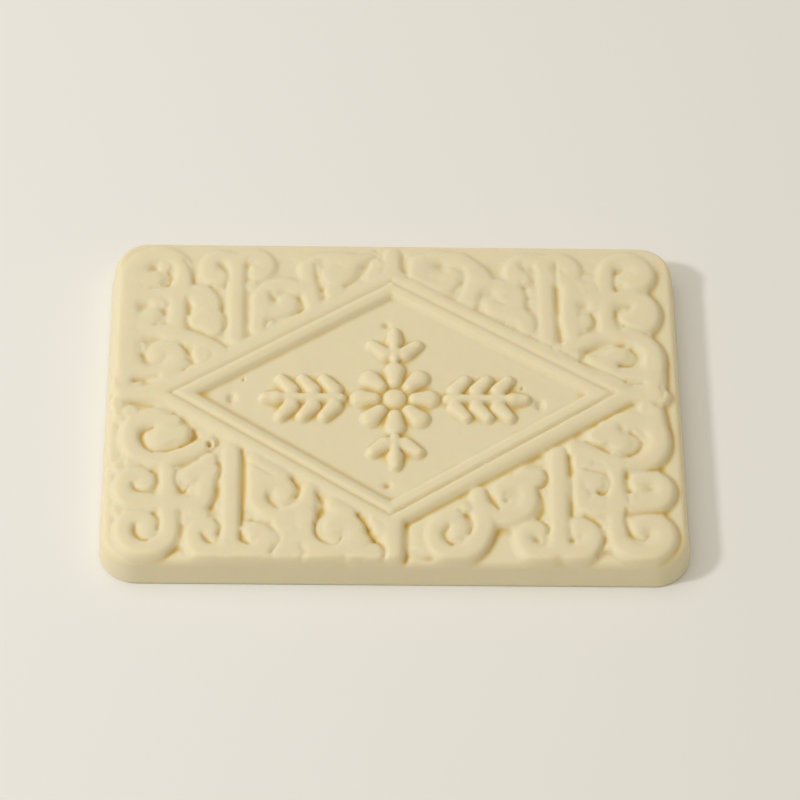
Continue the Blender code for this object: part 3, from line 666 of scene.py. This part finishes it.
def curl_line(x, y, start, end, radii, first, last):
    """x, y and half width along a curl."""
    count = int(abs(end - start) / CURL_STEP) + 2
    part = np.linspace(0, 1, count)
    angle = np.radians(start + (end - start) * part)
    radius = cubic(radii, part * (len(radii) - 1))
    return np.stack([x + radius * np.cos(angle), y + radius * np.sin(angle), first + (last - first) * part])


def stem_line(x0, y0, x1, y1, bow, first, last):
    """x, y and half width along a stem."""
    length = math.hypot(x1 - x0, y1 - y0)
    part = np.linspace(0, 1, int(length / STEM_STEP) + 2)
    aside = 4 * bow * part * (1 - part) / length
    x = x0 + (x1 - x0) * part - (y1 - y0) * aside
    y = y0 + (y1 - y0) * part + (x1 - x0) * aside
    return np.stack([x, y, first + (last - first) * part])


def crease_line(half_width, points):
    """x, y and half width along a crease, narrowing to both ends."""
    part = np.linspace(0, 1, CREASE_STEPS * len(points))
    at = part * (len(points) - 1)
    x, y = (cubic(column, at) for column in zip(*points))
    narrowing = np.sin(np.pi * np.clip(part, CREASE_END, 1 - CREASE_END)) ** 0.5
    return np.stack([x, y, half_width * narrowing])


def smooth_max(a, b, blend):
    """The larger of both, rounded where they meet."""
    near = np.maximum(blend - np.abs(a - b), 0) / blend
    return np.maximum(a, b) + near * near * blend / 4


def blurred(values, reach):
    """The map softened by a bell curve of this width, in cells."""
    span = int(3 * reach) + 1
    weights = np.exp(-0.5 * (np.arange(-span, span + 1) / reach) ** 2)
    weights /= weights.sum()
    for axis in (0, 1):
        padded = np.pad(values, [(span, span) if a == axis else (0, 0) for a in (0, 1)], mode="edge")
        size = values.shape[axis]
        parts = (np.take(padded, range(k, k + size), axis=axis) * w for k, w in enumerate(weights))
        values = sum(parts)
    return values


class HeightMap:
    """Heights over a level ground, on a regular grid."""

    def __init__(self, half_x, half_y):
        self.x = np.arange(-half_x, half_x + PITCH, PITCH)
        self.y = np.arange(-half_y, half_y + PITCH, PITCH)
        self.height = np.zeros((len(self.y), len(self.x)))

    def window(self, line, reach):
        """The part of the map within reach of the line, with its x and y."""
        columns = slice(*np.searchsorted(self.x, [line[0].min() - reach, line[0].max() + reach]))
        rows = slice(*np.searchsorted(self.y, [line[1].min() - reach, line[1].max() + reach]))
        return (rows, columns), self.x[None, columns], self.y[rows, None]

    def nearness(self, line, x, y):
        """Squared distance to the line over its half width squared, up to the reach of a crease."""
        best = np.full((y.shape[0], x.shape[1]), float(CREASE_REACH**2))
        for px, py, width in line.T:
            np.minimum(best, ((x - px) ** 2 + (y - py) ** 2) / width**2, out=best)
        return best

    def add_bead(self, line, height, base=0.0, blend=BEAD_BLEND):
        """A rounded bead along the line."""
        place, x, y = self.window(line, line[2].max())
        near = self.nearness(line, x, y)
        shape = np.clip(1 - near ** (BEAD_FULLNESS[0] / 2), 0, 1) ** BEAD_FULLNESS[1]
        blend_here = blend * np.clip(BLEND_ONSET * shape, 0, 1) + 1e-6
        here = self.height[place]
        joined = smooth_max(here, base + height * shape, blend_here)
        self.height[place] = np.where(near < 1, joined, here)

    def add_pad(self, x, y, radius, height):
        """A round pad that falls away at its edge."""
        place, gx, gy = self.window(np.array([[x], [y]]), radius)
        far = np.hypot(gx - x, gy - y) / radius
        pad = height * np.clip(PAD_EDGE - PAD_EDGE * far**3, 0, 1)
        here = self.height[place]
        self.height[place] = np.where(far < 1, smooth_max(here, pad, SOFT_BLEND), here)

    def closed(self, radius, bulge=1):
        """The map after filling what a ball of this radius, rolled over it, can't reach. With a bulge of 0
        the ball is a flat disc."""
        cells = int(radius / PITCH)
        steps = range(-cells, cells + 1)
        rows, columns = self.height.shape
        height = self.height
        for pick, sign in ((np.maximum, 1), (np.minimum, -1)):
            edged = np.pad(height, cells, mode="edge").astype(np.float32)
            height = edged[cells:-cells, cells:-cells].copy()
            for i in steps:
                for j in steps:
                    far = math.hypot(i, j) * PITCH
                    if far < radius:
                        rise = np.float32(sign * bulge * (math.sqrt(radius**2 - far**2) - radius))
                        shifted = edged[cells + i : cells + i + rows, cells + j : cells + j + columns]
                        pick(height, shifted + rise, out=height)
        return height.astype(float)

    def add_crease(self, line, depth):
        """A soft groove along the line."""
        place, x, y = self.window(line, CREASE_REACH * line[2].max())
        near = self.nearness(line, x, y)
        end = 1 / (1 + CREASE_REACH**2)
        self.height[place] -= depth * np.clip(1 / (1 + near) - end, 0, 1) / (1 - end)

    def add_dip(self, x, y, radius_x, radius_y, depth, steepness=DIP_STEEPNESS):
        """A round or oval dip, or a bump where the depth is negative."""
        place, gx, gy = self.window(np.array([[x], [y]]), DIP_REACH * max(radius_x, radius_y))
        far = ((gx - x) / radius_x) ** 2 + ((gy - y) / radius_y) ** 2
        self.height[place] -= depth * np.exp(-(far ** (steepness / 2)))

    def read(self, values, x, y):
        """Values of the grid's points, read between them."""
        column = np.clip((x - self.x[0]) / PITCH, 0, len(self.x) - 1.001)
        row = np.clip((y - self.y[0]) / PITCH, 0, len(self.y) - 1.001)
        i, j = column.astype(int), row.astype(int)
        u, v = column - i, row - j
        low = values[j, i] * (1 - u) + values[j, i + 1] * u
        high = values[j + 1, i] * (1 - u) + values[j + 1, i + 1] * u
        return low * (1 - v) + high * v


def distance_outward(corners, x, y):
    """Distance outward from the closed line through these corners."""
    far = None
    for (x0, y0), (x1, y1) in zip(corners, corners[1:] + corners[:1]):
        length = math.hypot(x1 - x0, y1 - y0)
        side = ((x - x0) * (y0 - y1) + (y - y0) * (x1 - x0)) / length
        far = side if far is None else np.maximum(far, side)
    return far


def add_lozenge(plate, height):
    """The two ridges as one, and the field inside. It returns the distance outward from the groove."""
    x, y = plate.x[None, :], plate.y[:, None]
    far = distance_outward(GROOVE, x, y)
    outer = distance_outward(LOZENGE, x, y)
    base = np.where(far < 0, FIELD, 0.0)
    distances = zip((-far, outer), FLANK_TOPS, FLANK_FEET)
    inward, outward = ((distance - top) / (foot - top) for distance, top, foot in distances)
    across = np.clip(np.where(far < 0, inward, outward), 0, 1)
    ridges = base + (height - base) * (1 - across ** FLANK_FULLNESS[0]) ** FLANK_FULLNESS[1]
    plate.height = smooth_max(base, ridges, RIDGE_BLEND)
    return far


def cut_groove(plate, far):
    """The groove between the two ridges, whose tops are a little round."""
    crest = np.where(far < 0, *CRESTS)
    fall = CROWN * np.clip(np.abs(np.abs(far) - crest) / crest, 0, 1) ** 2
    depth = np.interp(plate.y, GROOVE_CHANGE, GROOVE_DEPTH)[:, None]
    groove = depth * np.exp(-((far / GROOVE_HALF_WIDTH) ** 2))
    plate.height -= np.where(np.abs(far) < 2 * crest, fall, 0) + groove


def ornament_lines():
    """The rosette's petals, and the sprays' stems and leaves."""
    x, y = ROSETTE_CENTRE
    for turn in range(PETALS):
        angle = math.tau * turn / PETALS
        start, end = (complex(x, y) + reach * np.exp(1j * angle) for reach in PETAL_REACH)
        yield stem_line(start.real, start.imag, end.real, end.imag, 0, *PETAL_HALF_WIDTHS)
    for direction, begin, pairs in SPRAYS:
        way = np.exp(1j * math.radians(direction))
        stop = begin + LEAF_PITCH * pairs
        steps = [(begin, stop, SPRAY_HALF_WIDTHS), (stop, stop + TIP_LENGTH, TIP_HALF_WIDTHS)]
        for pair in range(pairs):
            for side in (-1j, 1j):
                root = begin + LEAF_PITCH * (pair + LEAF_OFFSET) + LEAF_ROOT * side
                steps.append((root, root + LEAF_REACH[0] + LEAF_REACH[1] * side, LEAF_HALF_WIDTHS))
        for first, last, widths in steps:
            start, end = (complex(x, y) + way * place for place in (first, last))
            yield stem_line(start.real, start.imag, end.real, end.imag, 0, *widths)


def mould_plate(height, unevenness):
    """The whole moulded face as a height map, in the pattern's own place."""
    plate = HeightMap(*MAP_HALF_SIZE)
    far = add_lozenge(plate, height)
    for x, y, _, _, radii, _, _ in CURLS:
        plate.add_pad(x, y, PAD_REACH * sum(radii[:-1]) / (len(radii) - 1), PAD_HEIGHT)
    for line in [curl_line(*curl) for curl in CURLS] + [stem_line(*stem) for stem in STEMS]:
        line[2] = np.where(line[2] < BROAD_BEAD, line[2] + BEAD_FOOT, line[2])
        plate.add_bead(line, height)
    for x, y, radius, top in FILLS:
        plate.add_pad(x, y, radius, top)
    plate.height = -smooth_max(-plate.height, np.full_like(plate.height, -height - OVER_BEADS), SOFT_BLEND)
    start, end, top = LEDGE
    part = np.clip((plate.y[:, None] - start) / (end - start), 0, 1)
    plate.height = smooth_max(plate.height, top * part * part * (3 - 2 * part), SOFT_BLEND)
    web = sum(np.minimum(plate.closed(reach, 0), WEB_HEIGHT) for reach in WEB_REACHES) / len(WEB_REACHES)
    plate.height = np.maximum(plate.height, np.where(far < 0, 0, web))
    plate.height = plate.closed(CLOSING)
    cut_groove(plate, far)
    for line in ornament_lines():
        line[2] += ORNAMENT_FOOT
        plate.add_bead(line, ORNAMENT_HEIGHT, FIELD)
    boss = np.array([[ROSETTE_CENTRE[0]], [ROSETTE_CENTRE[1]], [BOSS_RADIUS + ORNAMENT_FOOT]])
    plate.add_bead(boss, ORNAMENT_HEIGHT, FIELD)
    for half_width, depth, points in CREASES:
        plate.add_crease(crease_line(half_width, points), depth)
    for x, y, radius, depth in DIPS:
        plate.add_dip(x, y, radius, radius, depth)
    for x, y, size in CRUMBS:
        plate.add_dip(x, y, size, size, -size, CRUMB_STEEPNESS)
    wander = blurred(np.random.default_rng(SEED).normal(size=plate.height.shape), WANDER / PITCH)
    plate.height += wander / wander.std() * unevenness
    plate.height = blurred(plate.height, SOFTNESS / PITCH)
    for x, y, radius in BUBBLES:
        plate.add_dip(x, y, radius, radius * BUBBLE_BREADTH, radius * BUBBLE_DEPTH, BUBBLE_STEEPNESS)
    return plate


def painted_shade_map(plate):
    """The share of painted shade at each place, from 0 to 1: how far it lies below the surroundings of a
    place a little to its left, less towards the back.
    """
    surroundings = np.roll(blurred(plate.height, SURROUNDINGS / PITCH), round(PAINTED_SHADE_LEAN / PITCH), axis=1)
    below = surroundings - plate.height
    painted_shade = np.clip((below - PAINTED_SHADE_DEPTHS[0]) / (PAINTED_SHADE_DEPTHS[1] - PAINTED_SHADE_DEPTHS[0]), 0, 1)
    return painted_shade * (1 - PAINTED_SHADE_FADE[0] * np.clip(plate.y[:, None] / PAINTED_SHADE_FADE[1], 0, 1))


def flat_net():
    """A level net over the square, with rows hung from its edge and closed at the end. A point's z is minus
    the number of its row."""
    bm = bmesh.new()
    bmesh.ops.create_grid(bm, x_segments=NET_COLUMNS, y_segments=NET_ROWS, size=1)
    edge = [e for e in bm.edges if e.is_boundary]
    for _ in SIDE_ROWS:
        made = bmesh.ops.extrude_edge_only(bm, edges=edge)["geom"]
        points = [item for item in made if isinstance(item, bmesh.types.BMVert)]
        bmesh.ops.translate(bm, verts=points, vec=(0, 0, -1))
        edge = [item for item in made if isinstance(item, bmesh.types.BMEdge) and item.is_boundary]
    bmesh.ops.edgeloop_fill(bm, edges=edge)
    bmesh.ops.recalc_face_normals(bm, faces=bm.faces)
    return bm


def fold_net(net, plate):
    """Lays the net over the moulded face, round the rim and down the sides. It returns the places and the
    share of the relief that each has."""
    # Laid flat, the net reaches further out, as the way round the rim is longer than straight across it.
    fold = (math.pi / 2 - 1) * RIM_RADIUS
    half = np.array([LENGTH / 2 - DRAFT, DEPTH / 2 - DRAFT]) + fold
    corner = CORNER_RADIUS + fold
    place = net[:, :2] * half
    sign = np.where(place < 0, -1.0, 1.0)
    over = np.abs(place) - (half - corner)
    u, v = (np.clip(over / corner, 0, 1)).T
    rounded = np.stack([u * np.sqrt(1 - v**2 / 2), v * np.sqrt(1 - u**2 / 2)], 1) * corner
    in_corner = (over > 0).all(1)[:, None]
    over = np.where(in_corner, rounded, over)
    place = sign * (over + half - corner)

    # Near its edge it is drawn in over the rim, and drops.
    outward = np.clip(over, 0, None)
    length = np.hypot(*outward.T)
    along = outward / np.maximum(length, 1e-9)[:, None]
    inside = corner - length
    bend = np.clip(inside / RIM_RADIUS, 0, math.pi / 2)
    shift = np.where(inside < RIM_RADIUS * math.pi / 2, inside - RIM_RADIUS * (1 - np.cos(bend)) - fold, 0)
    shift = np.where(length > 0, shift, 0)
    place = place + sign * along * shift[:, None]
    drop = RIM_RADIUS * (1 - np.sin(bend))
    drop = np.where(length > 0, drop, 0)

    # The relief fades out towards the rim, and the rows that hang from the edge take their own places.
    relief = plate.read(plate.height, place[:, 0] - PATTERN_AT[0], place[:, 1] - PATTERN_AT[1])
    rise = np.clip(inside / RELIEF_MARGIN, 0, 1)
    share = rise * rise * (3 - 2 * rise)
    top = GROUND - drop + relief * share
    rows = np.array([(0.0, 0.0), *SIDE_ROWS])
    row = np.rint(-net[:, 2]).astype(int)
    place = place + sign * along * rows[row, 0][:, None]
    z = np.where(row > 0, rows[row, 1], top)
    return np.concatenate([place, z[:, None]], 1), np.where(row > 0, 0, share)


class Socket:
    """Wraps a node's output so that sums and products of values are written as Python expressions."""

    def __init__(self, tree, output):
        self.tree = tree
        self.output = output

    def _math(self, operation, *values):
        return add_node(self.tree, "ShaderNodeMath", {"operation": operation}, dict(enumerate(values)))

    def __add__(self, other):
        return self._math("ADD", self, other)

    def __mul__(self, other):
        return self._math("MULTIPLY", self, other)

    __radd__ = __add__
    __rmul__ = __mul__


def add_node(tree, kind, settings=None, inputs=None, output=0):
    """A node of this type with its settings, and its sockets' values or links. It returns one output, if the
    node has any."""
    node = tree.nodes.new(kind)
    for name, value in (settings or {}).items():
        setattr(node, name, value)
    for name, value in (inputs or {}).items():
        if isinstance(value, Socket):
            tree.links.new(value.output, node.inputs[name])
        else:
            node.inputs[name].default_value = value
    return Socket(tree, node.outputs[output]) if node.outputs else None


def noise(tree, place, scale, detail=3.0):
    """Values between 0 and 1 that wander over this many turns a metre."""
    return add_node(tree, "ShaderNodeTexNoise", None, {"Vector": place, "Scale": scale, "Detail": detail})


def mix_colours(tree, factor, first, second):
    """The first colour where the factor is 0, and the second where it is 1."""
    settings = {"data_type": "RGBA"}
    return add_node(tree, "ShaderNodeMix", settings, {0: factor, 6: first, 7: second}, output=2)


def chocolate_material(finish):
    """White chocolate that lets light in, with paler clouds, and painted shade in a deeper colour in its
    creases.
    """
    material = bpy.data.materials.new("white_chocolate_moulded")
    material.use_nodes = True
    tree = material.node_tree
    tree.nodes.clear()
    place = add_node(tree, "ShaderNodeTexCoord", output=3)
    # Painted shade: the colour goes over to the shade colour where the crease attribute says so.
    painted_shade = add_node(tree, "ShaderNodeAttribute", {"attribute_name": "crease"}, output=2)
    colour = mix_colours(tree, painted_shade, (*finish.colour, 1), (*finish.painted_shade_colour, 1))
    paler = [(own + cloud) / 2 for own, cloud in zip(finish.colour, CLOUD_COLOUR)]
    colour = mix_colours(tree, noise(tree, place, CLOUDS) * CLOUD_SHARE, colour, (*paler, 1))
    skin = noise(tree, place, GRAIN) * GRAIN_SHARE + noise(tree, place, WAVES, 2)
    bump = {"Strength": SKIN_STRENGTH, "Distance": metres(SKIN_DEPTH), "Height": skin}
    gloss = noise(tree, place, GLOSS_PATCHES) * GLOSS_SPREAD + (finish.roughness - GLOSS_SPREAD / 2)
    sockets = {
        "Base Color": colour,
        "Roughness": gloss,
        "Normal": add_node(tree, "ShaderNodeBump", None, bump),
        "IOR": REFRACTION,
        "Subsurface Weight": finish.scatter,
        "Subsurface Radius": SCATTER_RADII,
        "Subsurface Scale": metres(SCATTER_REACH),
    }
    surface = add_node(tree, "ShaderNodeBsdfPrincipled", None, sockets)
    add_node(tree, "ShaderNodeOutputMaterial", None, {"Surface": surface})
    return material


class CHOCOLATE_OT_mould_slab(bpy.types.Operator):
    """Moulds the slab and lets it stand for the solid"""

    bl_idname = "chocolate.mould_slab"
    bl_label = "Mould Slab"

    def execute(self, context):
        shape = context.scene.chocolate_shape
        plate = mould_plate(shape.bead_height / MM, shape.unevenness / MM)
        painted_shade = painted_shade_map(plate)
        # These two are pricked after the painted shade is worked out, so they get none of it and keep the
        # open surface's colour.
        for x, y, radius_x, radius_y in PRICKS:
            plate.add_dip(x, y, radius_x, radius_y, PRICK_DEPTH, PRICK_STEEPNESS)
        bm = flat_net()
        mesh = bpy.data.meshes.new("moulded_slab")
        bm.to_mesh(mesh)
        bm.free()
        net = np.empty(3 * len(mesh.vertices), np.float32)
        mesh.vertices.foreach_get("co", net)
        places, share = fold_net(net.reshape(-1, 3).astype(float), plate)
        mesh.vertices.foreach_set("co", (places * MM).astype(np.float32).ravel())
        # The painted shade at each point of the net goes into the crease attribute, fading out towards the
        # rim and absent on the sides.
        crease = plate.read(painted_shade, places[:, 0] - PATTERN_AT[0], places[:, 1] - PATTERN_AT[1]) * share
        mesh.attributes.new("crease", "FLOAT", "POINT").data.foreach_set("value", crease.astype(np.float32))
        mesh.update()
        mesh.shade_smooth()
        slab = bpy.data.objects.new("moulded_slab", mesh)
        context.scene.collection.objects.link(slab)
        mesh.materials.append(chocolate_material(context.scene.chocolate_finish))
        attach(slab, "root")
        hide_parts(NODE)
        return {"FINISHED"}


class CHOCOLATE_OT_set_stage(bpy.types.Operator):
    """Lays the floor and places the lights and the camera"""

    bl_idname = "chocolate.set_stage"
    bl_label = "Set Stage"

    def execute(self, context):
        stage = context.scene.chocolate_stage
        self.lay_floor(context, stage)
        self.fill_with_light(context, stage)
        self.hang_lamp(context, "key", stage.key_power, KEY_SIZE, KEY_WAY, KEY_DISTANCE)
        overhead = (OVERHEAD_SIZE, OVERHEAD_WAY, OVERHEAD_DISTANCE)
        self.hang_lamp(context, "overhead", stage.overhead_power, *overhead)
        self.place_camera(context, stage)
        context.scene.view_settings.view_transform = "Standard"
        return {"FINISHED"}

    def lay_floor(self, context, stage):
        """A plain pale floor."""
        bm = bmesh.new()
        bmesh.ops.create_grid(bm, x_segments=1, y_segments=1, size=FLOOR_HALF_SIZE)
        mesh = bpy.data.meshes.new("floor")
        bm.to_mesh(mesh)
        bm.free()
        floor = bpy.data.objects.new("floor", mesh)
        context.scene.collection.objects.link(floor)
        material = bpy.data.materials.new("pale_floor")
        material.use_nodes = True
        shader = material.node_tree.nodes["Principled BSDF"]
        shader.inputs["Base Color"].default_value = (*stage.floor_colour, 1)
        shader.inputs["Roughness"].default_value = FLOOR_ROUGHNESS
        mesh.materials.append(material)

    def fill_with_light(self, context, stage):
        """Warm light from all round."""
        world = bpy.data.worlds.new("studio")
        world.use_nodes = True
        background = world.node_tree.nodes["Background"]
        background.inputs["Color"].default_value = (*FILL_COLOUR, 1)
        background.inputs["Strength"].default_value = stage.sky
        context.scene.world = world

    def hang_lamp(self, context, name, power, size, way, distance):
        """A round lamp in this direction that shines at the slab."""
        lamp = bpy.data.lights.new(name, "AREA")
        lamp.energy = power
        lamp.shape = "DISK"
        lamp.size = size
        light = bpy.data.objects.new(name, lamp)
        context.scene.collection.objects.link(light)
        azimuth, height = (math.radians(angle) for angle in way)
        level = math.cos(height)
        away = Vector((math.cos(azimuth) * level, math.sin(azimuth) * level, math.sin(height)))
        light.location = away * distance
        light.rotation_euler = (-away).to_track_quat("-Z", "Y").to_euler()

    def place_camera(self, context, stage):
        """The camera at the height of the view, turned and rolled a little."""
        level, rise = math.cos(stage.elevation), math.sin(stage.elevation)
        back = Vector((math.sin(CAMERA_YAW) * level, -math.cos(CAMERA_YAW) * level, rise))
        right = Vector((math.cos(CAMERA_YAW), math.sin(CAMERA_YAW), 0))
        up = back.cross(right)
        turned_right = right * math.cos(CAMERA_ROLL) + up * math.sin(CAMERA_ROLL)
        turned_up = up * math.cos(CAMERA_ROLL) - right * math.sin(CAMERA_ROLL)
        turn = Matrix((turned_right, turned_up, back)).transposed().to_4x4()
        lens = bpy.data.cameras.new("camera")
        lens.lens = CAMERA_LENS
        lens.sensor_width = SENSOR_WIDTH
        camera = bpy.data.objects.new("camera", lens)
        camera.matrix_world = Matrix.Translation((Vector(CAMERA_TARGET) + back * CAMERA_DISTANCE) * MM) @ turn
        context.scene.collection.objects.link(camera)
        context.scene.camera = camera


class CHOCOLATE_PT_panel(bpy.types.Panel):
    """Lists the slab's settings and its operators"""

    bl_label = "White Chocolate Slab"
    bl_idname = "CHOCOLATE_PT_panel"
    bl_space_type = "VIEW_3D"
    bl_region_type = "UI"
    bl_category = "Chocolate"

    def draw(self, context):
        scene = context.scene
        for group in (scene.chocolate_shape, scene.chocolate_finish, scene.chocolate_stage):
            box = self.layout.box()
            for name in group.__annotations__:
                box.prop(group, name)
        self.layout.operator(CHOCOLATE_OT_mould_slab.bl_idname)
        self.layout.operator(CHOCOLATE_OT_set_stage.bl_idname)


CLASSES = (
    SlabShape,
    ChocolateFinishAndShade,
    StageSettings,
    CHOCOLATE_OT_mould_slab,
    CHOCOLATE_OT_set_stage,
    CHOCOLATE_PT_panel,
)


def register():
    for cls in CLASSES:
        bpy.utils.register_class(cls)
    bpy.types.Scene.chocolate_shape = bpy.props.PointerProperty(type=SlabShape)
    bpy.types.Scene.chocolate_finish = bpy.props.PointerProperty(type=ChocolateFinishAndShade)
    bpy.types.Scene.chocolate_stage = bpy.props.PointerProperty(type=StageSettings)


def unregister():
    del bpy.types.Scene.chocolate_stage
    del bpy.types.Scene.chocolate_finish
    del bpy.types.Scene.chocolate_shape
    for cls in reversed(CLASSES):
        bpy.utils.unregister_class(cls)


def main():
    register()
    bpy.ops.chocolate.mould_slab()
    bpy.ops.chocolate.set_stage()


if __name__ == "__main__":
    main()
